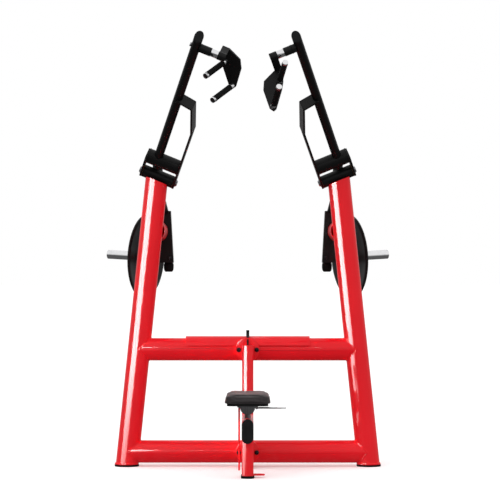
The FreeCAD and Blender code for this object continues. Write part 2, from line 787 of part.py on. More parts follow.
def horn_direction(side):
    splay, rise = radians(size("horn_splay")), radians(size("horn_rise"))
    return Vector(side * cos(splay) * cos(rise), sin(splay) * cos(rise), sin(rise))


def horn_points(side):
    """Where the horn's axis crosses the carrier's middle, the disc's two faces and its tip."""
    direction = horn_direction(side)
    root = Vector(side * carrier_x(), carrier_front() + size("carrier_depth") * 0.8,
                  size("beam_height") - size("horn_drop"))
    tip_distance = size("horn_span") / abs(direction.x)
    face = tip_distance - size("horn_flat")
    distances = (0, face - size("disc_thickness"), face, tip_distance)
    return [root + direction * distance for distance in distances]


def build_lever_rear(name, side):
    rise_point = at_lever(side, size("rear_arm_rise"), 15, -size("arm_offset"))
    depth_middle = carrier_front() + size("carrier_depth") / 2
    base, top = carrier_ends()
    knee = Vector(rise_point.x, depth_middle * 0.66, size("pivot_height") - size("knee_drop"))
    end = Vector(side * carrier_x(), depth_middle, top - 20)
    start = on_arm(side, size("cross_tube_reach"), -size("arm_offset"))
    points = [start, rise_point, knee, end]
    cross = cross_tube_rod(side)
    arm = cut(bent_rod("rear_arm_diameter", points),
              bent_rod("rear_arm_diameter", points, "-sizes.rear_arm_wall"),
              cross, carrier_solid(side), arm_rod(side))
    keep(f"rear_arm_{name}", arm)
    wall = size("carrier_wall")
    hollow_place = axes_at(Vector(side * carrier_x(),
                                  carrier_front() + size("carrier_depth") + 1, 0), X, Z)
    hollow = padded_body([carrier_outline(wall)], f"sizes.carrier_depth + 1 - {wall}", hollow_place)
    keep(f"weight_carrier_{name}", cut(carrier_solid(side), hollow))
    bumper_at = Vector(side * (carrier_x() - size("bumper_shift")), depth_middle,
                       base)
    keep(f"carrier_bumper_{name}", disc("bumper_diameter", "bumper_length", bumper_at, -Z))
    root, disc_back, disc_front, tip = horn_points(side)
    horn_root = rod("horn_root_diameter", root, disc_front)
    horn = fuse(rod("horn_diameter", root, tip), horn_root)
    keep(f"plate_horn_{name}", cut(horn, carrier_solid(side)))
    keep(f"guard_disc_{name}", cut(rod("disc_diameter", disc_back, disc_front), horn_root))


def centre_on_floor():
    """Move every sub-part so that the origin is under the middle of the machine."""
    box = FreeCAD.BoundBox()
    for thing in parts.values():
        box.add(thing.Shape.BoundBox)
    shift = Vector(-(box.XMin + box.XMax) / 2, -(box.YMin + box.YMax) / 2, -box.ZMin)
    for thing in parts.values():
        thing.Placement = Placement(shift, Rotation()).multiply(thing.Placement)
    return shift


def check_document():
    for thing in doc.Objects:
        if "Invalid" in thing.State or "Error" in thing.State:
            raise RuntimeError(f"{thing.Name} failed: {thing.State}")
    for label, thing in parts.items():
        if thing.Shape.isNull() or not thing.Shape.isValid() or not thing.Shape.Solids:
            raise RuntimeError(f"{label} has no valid shape")


def print_places(shift):
    """The places that a user of the parts needs, in millimetres."""
    places = {"seat_trip_axis": trip_axis()}
    for name, side in SIDES.items():
        root, disc_back, disc_front, tip = horn_points(side)
        places[f"pivot_{name}"] = pivot(side)
        places[f"handle_axis_{name}"] = on_arm(side, size("hub_reach"))
        places[f"horn_start_{name}"] = disc_front
        places[f"horn_tip_{name}"] = tip
        places[f"foot_{name}"] = on_upright(0, side)
    for label, place in places.items():
        at = place + shift
        print(f"{label}: {at.x:.4f} {at.y:.4f} {at.z:.4f}")


build_uprights()
build_rails()
build_cover()
build_pivot_housings()
build_pivot_bushes()
build_stop_beams()
build_rear_legs()
build_feet()
build_column()
build_seat_beam()
build_front_leg()
build_seat()
build_trip_lever()
for side_name, side_sign in SIDES.items():
    build_lever_front(side_name, side_sign)
    build_handle(side_name, side_sign)
    build_lever_rear(side_name, side_sign)
doc.recompute()
print_places(centre_on_floor())
check_document()
os.makedirs("parts", exist_ok=True)
for part_label, part in parts.items():
    part.Shape.exportStep(f"parts/{part_label}.step")
print(len(parts), "sub-parts")
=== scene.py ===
"""Looks of a plate-loaded lat pulldown machine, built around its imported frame. Metres."""
import json
from math import cos, pi, radians, sin

import bmesh
import bpy
import numpy as np
from mathutils import Matrix, Vector

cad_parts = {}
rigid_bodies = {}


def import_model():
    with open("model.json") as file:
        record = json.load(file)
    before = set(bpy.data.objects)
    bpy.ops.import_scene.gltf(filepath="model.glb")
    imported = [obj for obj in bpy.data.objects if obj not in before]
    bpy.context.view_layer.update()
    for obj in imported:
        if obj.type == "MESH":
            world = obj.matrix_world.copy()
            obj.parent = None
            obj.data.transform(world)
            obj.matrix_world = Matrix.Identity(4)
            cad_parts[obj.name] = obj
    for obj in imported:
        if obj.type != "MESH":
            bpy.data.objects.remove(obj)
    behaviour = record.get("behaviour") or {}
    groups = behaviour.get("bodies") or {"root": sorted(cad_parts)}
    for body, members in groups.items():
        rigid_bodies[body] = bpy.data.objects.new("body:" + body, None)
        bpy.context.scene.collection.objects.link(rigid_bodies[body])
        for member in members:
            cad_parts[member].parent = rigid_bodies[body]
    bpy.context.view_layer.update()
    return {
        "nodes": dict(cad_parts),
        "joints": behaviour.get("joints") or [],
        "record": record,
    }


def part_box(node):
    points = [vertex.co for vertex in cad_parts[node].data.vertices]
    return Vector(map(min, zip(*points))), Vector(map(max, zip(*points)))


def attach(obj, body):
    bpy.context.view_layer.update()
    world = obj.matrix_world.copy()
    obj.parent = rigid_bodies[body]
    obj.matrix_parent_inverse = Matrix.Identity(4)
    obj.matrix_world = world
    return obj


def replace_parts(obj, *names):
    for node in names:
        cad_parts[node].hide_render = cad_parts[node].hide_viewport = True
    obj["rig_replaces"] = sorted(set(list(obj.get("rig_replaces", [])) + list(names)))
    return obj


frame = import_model()
X, Y, Z = Vector((1, 0, 0)), Vector((0, 1, 0)), Vector((0, 0, 1))
SIDES = {"left": -1, "right": 1}
MM = 0.001


# ---- shader maths ----------------------------------------------------------

class Value:
    """One output socket of a finish, which takes part in Python arithmetic."""

    def __init__(self, finish, socket):
        self.finish = finish
        self.socket = socket

    def maths(self, operation, *terms):
        return self.finish.node("ShaderNodeMath", {"operation": operation}, *terms)

    def __add__(self, other):
        return self.maths("ADD", self, other)

    def __rsub__(self, other):
        return self.maths("SUBTRACT", other, self)

    def __mul__(self, other):
        return self.maths("MULTIPLY", self, other)

    __radd__ = __add__
    __rmul__ = __mul__

    def clipped(self):
        return self.maths("MAXIMUM", self.maths("MINIMUM", self, 1.0), 0.0)


class Finish:
    """A material being put together around one Principled shader."""

    def __init__(self, name):
        self.material = bpy.data.materials.new(name)
        self.material.use_nodes = True
        self.tree = self.material.node_tree
        self.shader = self.tree.nodes["Principled BSDF"]
        self.place = self.node("ShaderNodeTexCoord", out="Object")

    def node(self, kind, settings=None, *terms, out=0, **named):
        made = self.tree.nodes.new(kind)
        for key, setting in (settings or {}).items():
            setattr(made, key, setting)
        for index, term in enumerate(terms):
            self.feed(made.inputs[index], term)
        for name, term in named.items():
            self.feed(made.inputs[name.replace("_", " ")], term)
        return Value(self, made.outputs[out])

    def feed(self, socket, term):
        if isinstance(term, Value):
            self.tree.links.new(term.socket, socket)
        else:
            socket.default_value = term

    def noise(self, scale, detail=3.0, roughness=0.5, place=None):
        return self.node("ShaderNodeTexNoise", Vector=place or self.place, Scale=scale,
                         Detail=detail, Roughness=roughness)

    def cells(self, scale, feature="DISTANCE_TO_EDGE"):
        return self.node("ShaderNodeTexVoronoi", {"feature": feature},
                         Vector=self.place, Scale=scale)

    def stretched(self, scale):
        """The object's place, scaled differently along each axis."""
        return self.node("ShaderNodeMapping", Vector=self.place, Scale=scale)

    def blend(self, factor, first, second):
        mixed = self.tree.nodes.new("ShaderNodeMix")
        mixed.data_type = "RGBA"
        self.feed(mixed.inputs["Factor"], factor)
        self.feed(mixed.inputs[6], first if isinstance(first, Value) else (*first, 1))
        self.feed(mixed.inputs[7], second if isinstance(second, Value) else (*second, 1))
        return Value(self, mixed.outputs[2])

    def ramp(self, term, low, high):
        """0 at low, 1 at high, and a straight change between them."""
        return self.node("ShaderNodeMapRange", None, term, low, high)

    def height(self):
        return self.node("ShaderNodeSeparateXYZ", None, self.place, out=2)

    def bump(self, term, depth, strength=1.0):
        return self.node("ShaderNodeBump", Strength=strength, Distance=depth, Height=term)

    def set(self, **sockets):
        for name, term in sockets.items():
            self.feed(self.shader.inputs[name.replace("_", " ")], term)
        return self.material


# ---- finishes ----------------------------------------------------------------

def red_paint():
    """Gloss enamel under a clear coat: faint peel, mottling and dust near the floor."""
    f = Finish("red_paint")
    mottle = f.noise(3.0, 4.0)
    base = f.blend(f.ramp(mottle, 0.35, 0.7), (0.74, 0.009, 0.016), (0.82, 0.012, 0.020))
    dust = f.ramp(f.height(), 0.10, 0.0) * f.ramp(f.noise(35.0, 5.0), 0.45, 0.8) * 0.10
    colour = f.blend(dust.clipped(), base, (0.42, 0.20, 0.18))
    smears = f.ramp(f.noise(9.0, 5.0, 0.65), 0.45, 0.75)
    peel = f.noise(260.0, 2.0)
    return f.set(Base_Color=colour, Roughness=(smears * 0.05 + 0.30 + dust * 0.5).clipped(),
                 Normal=f.bump(peel, 0.000004), Specular_IOR_Level=0.02, Coat_Weight=0.36,
                 Coat_Roughness=0.045, Coat_IOR=1.5)


def black_paint():
    """Satin powder coat with a fine pebble and rubbed spots."""
    f = Finish("black_paint")
    pebble = f.noise(900.0, 2.0)
    rubbed = f.ramp(f.noise(14.0, 6.0, 0.7), 0.58, 0.75)
    colour = f.blend(rubbed * 0.5, (0.0050, 0.0050, 0.0051), (0.0085, 0.0085, 0.0088))
    return f.set(Base_Color=colour, Roughness=(rubbed * -0.08 + 0.40 + pebble * 0.06).clipped(),
                 Normal=f.bump(pebble, 0.00005), Specular_IOR_Level=0.18)


def chrome():
    """Bright plating with fine turned lines and handling smears."""
    f = Finish("chrome")
    lines = f.noise(1.0, 3.0, place=f.stretched((900, 900, 900)))
    smears = f.ramp(f.noise(30.0, 5.0, 0.6), 0.45, 0.8)
    colour = f.blend(smears, (0.86, 0.86, 0.87), (0.74, 0.74, 0.76))
    return f.set(Base_Color=colour, Metallic=1.0, Roughness=(smears * 0.10 + 0.07).clipped(),
                 Normal=f.bump(lines, 0.000006))


def zinc():
    f = Finish("zinc")
    spangle = f.cells(160.0, "F1")
    colour = f.blend(f.ramp(spangle, 0.0, 0.7), (0.50, 0.50, 0.52), (0.34, 0.34, 0.36))
    return f.set(Base_Color=colour, Metallic=1.0, Roughness=(spangle * 0.2 + 0.25).clipped(),
                 Normal=f.bump(f.noise(500.0), 0.00002))


def black_oxide():
    f = Finish("black_oxide")
    wear = f.ramp(f.noise(240.0, 4.0), 0.5, 0.7)
    colour = f.blend(wear, (0.012, 0.012, 0.014), (0.05, 0.05, 0.055))
    return f.set(Base_Color=colour, Metallic=0.7, Roughness=(wear * 0.1 + 0.28).clipped(),
                 Normal=f.bump(wear, 0.00002))


def bronze():
    f = Finish("bronze")
    pores = f.noise(700.0, 4.0)
    colour = f.blend(f.ramp(pores, 0.4, 0.6), (0.30, 0.17, 0.07), (0.45, 0.27, 0.12))
    return f.set(Base_Color=colour, Metallic=0.9, Roughness=(pores * 0.2 + 0.3).clipped(),
                 Normal=f.bump(pores, 0.00003))


def rubber():
    """Matt moulded rubber with a fine grain and a little bloom."""
    f = Finish("rubber")
    grain = f.noise(1100.0, 3.0)
    bloom = f.ramp(f.noise(22.0, 5.0), 0.5, 0.8)
    colour = f.blend(bloom * 0.5, (0.0045, 0.0045, 0.0045), (0.011, 0.011, 0.011))
    return f.set(Base_Color=colour, Roughness=(grain * 0.15 + 0.6).clipped(),
                 Normal=f.bump(grain, 0.00012), Specular_IOR_Level=0.12)


def black_plastic():
    f = Finish("black_plastic")
    grain = f.cells(900.0)
    haze = f.ramp(f.noise(40.0, 4.0), 0.4, 0.7)
    colour = f.blend(haze, (0.005, 0.005, 0.0055), (0.009, 0.009, 0.0095))
    return f.set(Base_Color=colour, Roughness=(haze * 0.08 + 0.45).clipped(),
                 Normal=f.bump(grain, 0.00006), Specular_IOR_Level=0.2)


def vinyl():
    """Charcoal upholstery vinyl: leather grain, a soft sheen where it is sat on."""
    f = Finish("vinyl")
    grain = f.ramp(f.cells(520.0), 0.0, 0.22)
    creases = f.noise(90.0, 6.0, 0.6)
    polished = f.ramp(f.noise(10.0, 3.0), 0.4, 0.7)
    colour = f.blend(polished, (0.020, 0.016, 0.017), (0.032, 0.025, 0.026))
    relief = grain * 0.7 + creases * 0.5
    return f.set(Base_Color=colour, Roughness=(0.46 - polished * 0.10 + grain * 0.05).clipped(),
                 Normal=f.bump(relief, 0.00022), Specular_IOR_Level=0.3, Sheen_Weight=0.1)


def grey_steel():
    f = Finish("grey_steel")
    drawn = f.noise(1.0, 4.0, place=f.stretched((300, 300, 12)))
    colour = f.blend(f.ramp(drawn, 0.3, 0.7), (0.10, 0.10, 0.105), (0.17, 0.17, 0.175))
    return f.set(Base_Color=colour, Metallic=0.6, Roughness=(drawn * 0.15 + 0.3).clipped(),
                 Normal=f.bump(drawn, 0.00002))


FINISHES = {make.__name__: make() for make in (
    red_paint, black_paint, chrome, zinc, black_oxide, bronze, rubber, black_plastic,
    vinyl, grey_steel)}
SLOT_OF = {row["node"]: row["material_slot"] for row in frame["record"]["subparts"]}
BODY_OF = {node: body for body, nodes in frame["record"]["behaviour"]["bodies"].items()
           for node in nodes}
JOINTS = {joint["name"]: joint for joint in frame["joints"]}


# ---- making pieces -------------------------------------------------------------

def piece(name, bm, body, slot, *stands_for, smooth=40, bevel=0.0, segments=2, finish=None):
    """Turn a bmesh into a finished piece that rides on a body."""
    bmesh.ops.remove_doubles(bm, verts=bm.verts, dist=1e-6)
    bmesh.ops.recalc_face_normals(bm, faces=bm.faces)
    mesh = bpy.data.meshes.new(name)
    bm.to_mesh(mesh)
    bm.free()
    for polygon in mesh.polygons:
        polygon.use_smooth = True
    mesh.set_sharp_from_angle(angle=radians(smooth))
    mesh.materials.append(FINISHES[finish or slot])
    made = bpy.data.objects.new(name, mesh)
    bpy.context.scene.collection.objects.link(made)
    if bevel:
        add_bevel(made, bevel, segments)
    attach(made, body)
    if stands_for:
        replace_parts(made, *stands_for)
    return made


def add_bevel(made, width, segments=2):
    soft = made.modifiers.new("soft_edges", "BEVEL")
    soft.width = width
    soft.segments = segments
    soft.limit_method = "ANGLE"
    soft.angle_limit = radians(38)
    soft.harden_normals = True


def copied(node):
    """A merged copy of a CAD node's mesh."""
    bm = bmesh.new()
    bm.from_mesh(frame["nodes"][node].data)
    bmesh.ops.remove_doubles(bm, verts=bm.verts, dist=2e-6)
    return bm


def looking(origin, direction, across=None):
    """A matrix at origin whose Z runs along direction."""
    along = Vector(direction).normalized()
    side = Vector(across).normalized() if across else along.orthogonal().normalized()
    turn = Matrix((side, along.cross(side), along)).transposed().to_4x4()
    return Matrix.Translation(origin) @ turn


def turned(profile, place, steps=64):
    """Spin (radius, distance) points about the Z of place. Ends at radius 0 close the shape."""
    bm = bmesh.new()
    verts = [bm.verts.new((radius, 0, distance)) for radius, distance in profile]
    edges = [bm.edges.new(pair) for pair in zip(verts, verts[1:])]
    bmesh.ops.spin(bm, geom=verts + edges, cent=(0, 0, 0), axis=(0, 0, 1), angle=2 * pi,
                   steps=steps, use_merge=True)
    bmesh.ops.remove_doubles(bm, verts=bm.verts, dist=1e-6)
    bmesh.ops.transform(bm, matrix=place, verts=bm.verts)
    return bm


def in_mm(points):
    """A profile given in millimetres, in metres."""
    return [(radius * MM, distance * MM) for radius, distance in points]


def mount_of(name):
    return next(m for m in frame["record"]["mounts"] if m["name"] == name)


def joint_place(name):
    joint = JOINTS[name]
    return Vector(joint["pos_m"]), Vector(joint["axis"]).normalized()


# ---- the stage -----------------------------------------------------------------

def studio_world():
    """A white room: pure white to the camera, dimmer below the horizon to all else."""
    world = bpy.data.worlds.new("studio")
    world.use_nodes = True
    nodes, links = world.node_tree.nodes, world.node_tree.links
    path = nodes.new("ShaderNodeLightPath")
    place = nodes.new("ShaderNodeTexCoord")
    split = nodes.new("ShaderNodeSeparateXYZ")
    links.new(place.outputs["Generated"], split.inputs[0])
    shades = []
    # what soft light sees below and above the horizon, and then what gloss sees
    for low, high in ((0.55, 1.05), (0.10, 0.9)):
        shade = nodes.new("ShaderNodeMapRange")
        shade.inputs["From Min"].default_value = -0.25
        shade.inputs["From Max"].default_value = 0.2
        shade.inputs["To Min"].default_value = low
        shade.inputs["To Max"].default_value = high
        links.new(split.outputs[2], shade.inputs[0])
        shades.append(shade.outputs[0])
    level, gloss_level = shades
    for ray, other in (("Is Glossy Ray", gloss_level), ("Is Camera Ray", None)):
        choice = nodes.new("ShaderNodeMix")
        links.new(path.outputs[ray], choice.inputs["Factor"])
        links.new(level, choice.inputs["A"])
        choice.inputs["B"].default_value = 1.0
        if other:
            links.new(other, choice.inputs["B"])
        level = choice.outputs["Result"]
    links.new(level, nodes["Background"].inputs["Strength"])
    nodes["Background"].inputs["Color"].default_value = (1, 1, 1, 1)
    bpy.context.scene.world = world


LENS_MM = 170.2
SENSOR_MM = 36
EYE_X = 0.0114
EYE_HEIGHT = 1.097
EYE_DISTANCE = 12.0
FLOOR_HALF_WIDTH = 60
STRIP_NEAR = (-1.628, -3.53, 1.0)
STRIP_FAR = (-1.174, -0.153, 1.0)
STRIP_HEIGHT = 3.4
STRIP_BELOW = 0.33
STRIP_STRENGTH = 52.0


def set_the_stage():
    studio_world()
    bpy.context.scene.view_settings.view_transform = "Standard"
    bm = bmesh.new()
    bmesh.ops.create_grid(bm, x_segments=2, y_segments=2, size=FLOOR_HALF_WIDTH)
    mesh = bpy.data.meshes.new("floor")
    bm.to_mesh(mesh)
    bm.free()
    floor = bpy.data.objects.new("floor", mesh)
    bpy.context.scene.collection.objects.link(floor)
    pale = Finish("pale_floor")
    mesh.materials.append(pale.set(Base_Color=(0.95, 0.95, 0.95, 1), Roughness=0.9,
                                   Specular_IOR_Level=0.0, Emission_Color=(1, 1, 1, 1),
                                   Emission_Strength=0.16))
    floor.visible_diffuse = False
    floor.visible_glossy = False
    light("front_soft", (-2.6, -4.5, 3.6), (0, 0, 1.1), 3.0, 60)
    card = reflector("left_strip", Vector(STRIP_NEAR), Vector(STRIP_FAR))
    camera()
    return card


def light(name, place, target, width, power):
    lamp = bpy.data.lights.new(name, "AREA")
    lamp.size = width
    lamp.energy = power
    made = bpy.data.objects.new(name, lamp)
    made.matrix_world = looking(place, Vector(place) - Vector(target))
    made.visible_glossy = False
    bpy.context.scene.collection.objects.link(made)


def reflector(name, near, far):
    """A tall bright card that only gloss sees, and that fades toward the floor."""
    bm = bmesh.new()
    up = Z * STRIP_HEIGHT
    corners = [near, far, far + up, near + up]
    bm.faces.new([bm.verts.new(corner - up * STRIP_BELOW) for corner in corners])
    mesh = bpy.data.meshes.new(name)
    bm.to_mesh(mesh)
    bm.free()
    card = bpy.data.objects.new(name, mesh)
    bpy.context.scene.collection.objects.link(card)
    glow = Finish(name)
    fade = glow.ramp(glow.height(), -0.25, 0.55)
    mesh.materials.append(glow.set(Base_Color=(0, 0, 0, 1), Emission_Color=(1, 1, 1, 1),
                                   Emission_Strength=fade.clipped() * STRIP_STRENGTH))
    card.visible_camera = False
    card.visible_diffuse = False
    card.visible_shadow = False
    return card


def camera():
    """A long lens, level, a dozen metres in front of the uprights."""
    upright_y = sum(corner.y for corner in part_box("upper_rail")) / 2
    eye = Vector((EYE_X, upright_y - EYE_DISTANCE, EYE_HEIGHT))
    data = bpy.data.cameras.new("camera")
    data.lens = LENS_MM
    data.sensor_width = SENSOR_MM
    made = bpy.data.objects.new("camera", data)
    made.matrix_world = Matrix.Translation(eye) @ Matrix.Rotation(radians(90), 4, "X")
    bpy.context.scene.collection.objects.link(made)
    bpy.context.scene.camera = made


def shine_only_on(card, slot):
    """Let a card be mirrored by the pieces of one finish alone."""
    seen = bpy.data.collections.new(f"{card.name}_seen_by")
    for thing in bpy.data.objects:
        if thing.type == "MESH" and FINISHES[slot] in list(thing.data.materials):
            seen.objects.link(thing)
    card.light_linking.receiver_collection = seen


# ---- CAD nodes whose shape is kept ---------------------------------------------------

SOFT_EDGE = {"red_paint": 1.0 * MM, "black_paint": 1.0 * MM, "chrome": 0.8 * MM,
             "rubber": 1.5 * MM, "black_plastic": 1.5 * MM}


def keep_shapes(done):
    """Every node that no new piece stands for is shown as a merged, soft-edged copy."""
    for node in sorted(frame["nodes"]):
        if node not in done:
            slot = SLOT_OF[node]
            piece(f"{node}_finished", copied(node), BODY_OF[node], slot, node,
                  bevel=SOFT_EDGE.get(slot, 0.5 * MM))


def replaced_nodes():
    return {node for thing in bpy.data.objects for node in thing.get("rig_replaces", [])}


# ---- places read from the CAD meshes ------------------------------------------------

def islands(node):
    """The separate solids of a node, as arrays of their corners."""
    bm = copied(node)
    left = set(bm.verts)
    found = []
    while left:
        front = [left.pop()]
        group = []
        while front:
            vert = front.pop()
            group.append(vert.co.copy())
            for edge in vert.link_edges:
                other = edge.other_vert(vert)
                if other in left:
                    left.remove(other)
                    front.append(other)
        found.append(np.array(group))
    bm.free()
    return sorted(found, key=lambda corners: tuple(corners.mean(0).round(3)))


def span_along(corners, direction):
    """Where a solid starts and ends along a direction through the origin."""
    reach = corners @ np.array(direction)
    return reach.min(), reach.max()


def round_solid(corners):
    """Start, direction and length of a straight round solid."""
    middle = corners.mean(0)
    values, vectors = np.linalg.eigh(np.cov((corners - middle).T))
    gaps = [abs(values[1] - values[0]), abs(values[2] - values[1])]
    direction = Vector(vectors[:, 2 if gaps[1] > gaps[0] else 0]).normalized()
    low, high = span_along(corners, direction)
    centre = Vector(middle)
    start = centre + direction * (low - centre.dot(direction))
    return start, direction, high - low


def joined(*parts):
    """One bmesh from several."""
    whole = bmesh.new()
    for part in parts:
        mesh = bpy.data.meshes.new("part")
        part.to_mesh(mesh)
        part.free()
        whole.from_mesh(mesh)
        bpy.data.meshes.remove(mesh)
    return whole


def hexagon(place, across_flats, height):
    """A bolt head or a nut, chamfered at its outer end."""
    bm = bmesh.new()
    radius = across_flats / 2 / cos(pi / 6)
    bmesh.ops.create_cone(bm, cap_ends=True, segments=6, radius1=radius, radius2=radius,
                          depth=height, matrix=place @ Matrix.Translation((0, 0, height / 2)))
    bmesh.ops.bevel(bm, geom=bm.edges[:], offset=0.0012, affect="EDGES", segments=2,
                    profile=0.5, material=-1)
    return bm


def bead(name, points, thickness, body, slot="black_paint"):
    """A weld bead along a closed line, rippled like laid metal."""
    data = bpy.data.curves.new(name, "CURVE")
    data.dimensions = "3D"
    data.bevel_depth = thickness
    data.bevel_resolution = 3
    line = data.splines.new("POLY")
    line.points.add(len(points) - 1)
    for index, point in enumerate(points):
        line.points[index].co = (*point, 1)
        line.points[index].radius = 1.0 + 0.16 * sin(index * 2.1)
    line.use_cyclic_u = True
    shown = bpy.data.objects.new(name, data)
    mesh = bpy.data.meshes.new_from_object(shown)
    bpy.data.objects.remove(shown)
    bm = bmesh.new()
    bm.from_mesh(mesh)
    return piece(name, bm, body, slot, smooth=60)


def ring_points(place, radius, count=72):
    return [place @ Vector((radius * cos(2 * pi * k / count), radius * sin(2 * pi * k / count), 0))
            for k in range(count)]


# ---- frame -----------------------------------------------------------------------------

TUBE = 57 * MM
WELD = 2.6 * MM


def upright_axis(side):
    """Foot and direction of an upright, from its foot mount and its pivot side."""
    name = "left" if side < 0 else "right"
    foot = Vector(mount_of(f"foot_{name}")["pos_m"])
    rail_low, rail_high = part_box("upper_rail")
    height = (rail_low.z + rail_high.z) / 2
    reach = rail_high.x if side > 0 else rail_low.x
    # the rail's longest point lies on the upright's axis
    return foot, (Vector((reach, foot.y, height)) - foot).normalized()


def rail_welds():
    for side_name, side in SIDES.items():
        foot, direction = upright_axis(side)
        for rail in ("upper_rail", "lower_rail"):
            low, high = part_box(rail)
            middle = (low.z + high.z) / 2
            points = []
            for k in range(96):
                angle = 2 * pi * k / 96
                y, z = TUBE * cos(angle), middle + TUBE * sin(angle)
                axis_x = foot.x + direction.x / direction.z * z
                sunk = max(TUBE ** 2 - y ** 2, 0) ** 0.5 / direction.z
                points.append(Vector((axis_x - side * sunk, foot.y + y, z)))
            bead(f"{rail}_weld_{side_name}", points, WELD, "frame", "red_paint")


def foot_welds():
    for side_name, side in SIDES.items():
        foot, direction = upright_axis(side)
        plate_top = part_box("upright_left")[0].z
        at = foot + direction * (plate_top / direction.z)
        bead(f"foot_weld_{side_name}", ring_points(Matrix.Translation(at), TUBE), WELD, "frame",
             "red_paint")


def domed_bolts():
    """Button heads with a socket and a washer, where the bosses are bolted to the rails."""
    head, head_height = 11.5 * MM, 7 * MM
    low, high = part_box("frame_bolts")
    seat = low.y + head_height
    dome = [(0, 2.6), (3.4, 2.6), (4.0, 6.6), (5.4, 6.4), (8.0, 5.2), (9.6, 3.4), (10.2, 1.7),
            (11.5, 1.6), (11.5, 0.0), (6.0, 0.0), (6.0, -29), (0, -30)]
    bolts = []
    for x in (low.x + head, high.x - head):
        for z in (low.z + head, high.z - head):
            bolts.append(turned(in_mm(dome), looking((x, seat, z), -Y), 48))
    piece("boss_bolts", joined(*bolts), "frame", "black_oxide", "frame_bolts", smooth=32)


def capped_end():
    """The plastic plug in the front of the seat beam, with a soft rim."""
    piece("beam_plug", copied("beam_cap"), "frame", "black_plastic", "beam_cap", bevel=2.4 * MM,
          segments=4)


def ribbed_feet():
    """Rubber pads with two grooves moulded round their sides."""
    narrowest, front_reach = 80 * MM, 100 * MM
    pads = []
    for corners in islands("foot_pads"):
        low, high = corners.min(0), corners.max(0)
        if high[0] - low[0] < narrowest:
            continue
        radius = (high[0] - low[0]) / 2
        centre = Vector(((low[0] + high[0]) / 2, (low[1] + high[1]) / 2, low[2]))
        height = high[2] - low[2]
        groove = 1.2 * MM
        profile = [(0, 0), (radius - groove, 0), (radius, groove)]
        for share in (0.3, 0.62):
            at = height * share
            profile += [(radius, at - groove), (radius - groove, at - groove / 2),
                        (radius - groove, at + groove / 2), (radius, at + groove)]
        profile += [(radius, height - groove), (radius - groove, height), (0, height)]
        pads.append(turned(profile, Matrix.Translation(centre), 96))
    front = copied("foot_pads")
    far = [v for v in front.verts if abs(v.co.x) > front_reach]
    bmesh.ops.delete(front, geom=far, context="VERTS")
    pads.append(front)
    piece("rubber_feet", joined(*pads), "frame", "rubber", "foot_pads", smooth=30)


def stop_pads():
    pads = []
    for corners in islands("stop_pads"):
        low, high = corners.min(0), corners.max(0)
        radius, depth = (high[0] - low[0]) / 2, high[1] - low[1]
        centre = Vector(((low[0] + high[0]) / 2, low[1], (low[2] + high[2]) / 2))
        profile = [(0, 0), (radius - 3 * MM, 0), (radius - 3 * MM, 4 * MM), (radius, 7 * MM),
                   (radius, depth - 3 * MM), (radius - 3 * MM, depth), (8 * MM, depth),
                   (7 * MM, depth - 4 * MM), (0, depth - 4 * MM)]
        pads.append(turned(profile, looking(centre, Y), 64))
    piece("stop_buffers", joined(*pads), "frame", "rubber", "stop_pads", smooth=30)


# ---- levers ------------------------------------------------------------------------------

def horn_mount(name):
    mount = mount_of(f"horn_{name}")
    direction = Vector(mount["axis"]).normalized()
    flat = mount["dims"]["length_mm"] * MM
    return Vector(mount["pos_m"]) - direction * flat / 2, direction, flat


def guard_disc(name):
    """A dished steel disc with a rolled rim and a raised hub, and the plug in the horn's end."""
    face, direction, flat = horn_mount(name)
    # radius, and half of the thickness there
    half = [(28.05, 6.0), (36, 6.0), (38, 5.0), (60, 5.0), (66, 3.2), (196, 3.2), (203, 5.4),
            (219, 6.0), (223.4, 4.6), (225, 2.0)]
    middle = half[0][1]
    front = [(radius, thick - middle) for radius, thick in half]
    back = [(radius, -thick - middle) for radius, thick in reversed(half)]
    profile = in_mm(front + back + front[:1])
    piece(f"dished_disc_{name}", turned(profile, looking(face, direction), 128),
          f"lever_{name}", "black_paint", f"guard_disc_{name}", smooth=30)
    plug = [(0, 0.2), (17, 0.2), (18, -0.6), (18, -3), (0, -3)]
    tip = face + direction * (flat + 0.6 * MM)
    piece(f"horn_plug_{name}", turned(in_mm(plug), looking(tip, direction), 64),
          f"lever_{name}", "black_plastic", smooth=30)


AXLE_HALF = 94
HOUSING_HALF = 82
WASHER = 2.6


def axle_ends(name):
    """A washer and a hexagon head at each end of the axle."""
    centre, axis = joint_place(f"lever_{name}_pull")
    heads = []
    for way in (-1, 1):
        washer = [(0, 0), (19, 0), (19, 2.2), (18.4, WASHER), (0, WASHER)]
        place = looking(centre + axis * way * AXLE_HALF * MM, axis * way)
        heads.append(turned(in_mm(washer), place, 48))
        heads.append(hexagon(place @ Matrix.Translation(Z * WASHER * MM), 27 * MM, 5.4 * MM))
    shaft = [(0, -AXLE_HALF), (15, -AXLE_HALF), (15, AXLE_HALF), (0, AXLE_HALF)]
    heads.append(turned(in_mm(shaft), looking(centre, axis), 48))
    piece(f"axle_{name}", joined(*heads), f"lever_{name}", "zinc", f"pivot_axle_{name}",
          smooth=30)
    for way in (-1, 1):
        rim = [(23, 0.2), (31, 0.2), (31, 0.9), (23, 0.9), (23, 0.2)]
        place = looking(centre + axis * way * HOUSING_HALF * MM, axis * way)
        piece(f"thrust_washer_{name}_{'inner' if way > 0 else 'outer'}",
              turned(in_mm(rim), place, 48), "frame", "bronze")


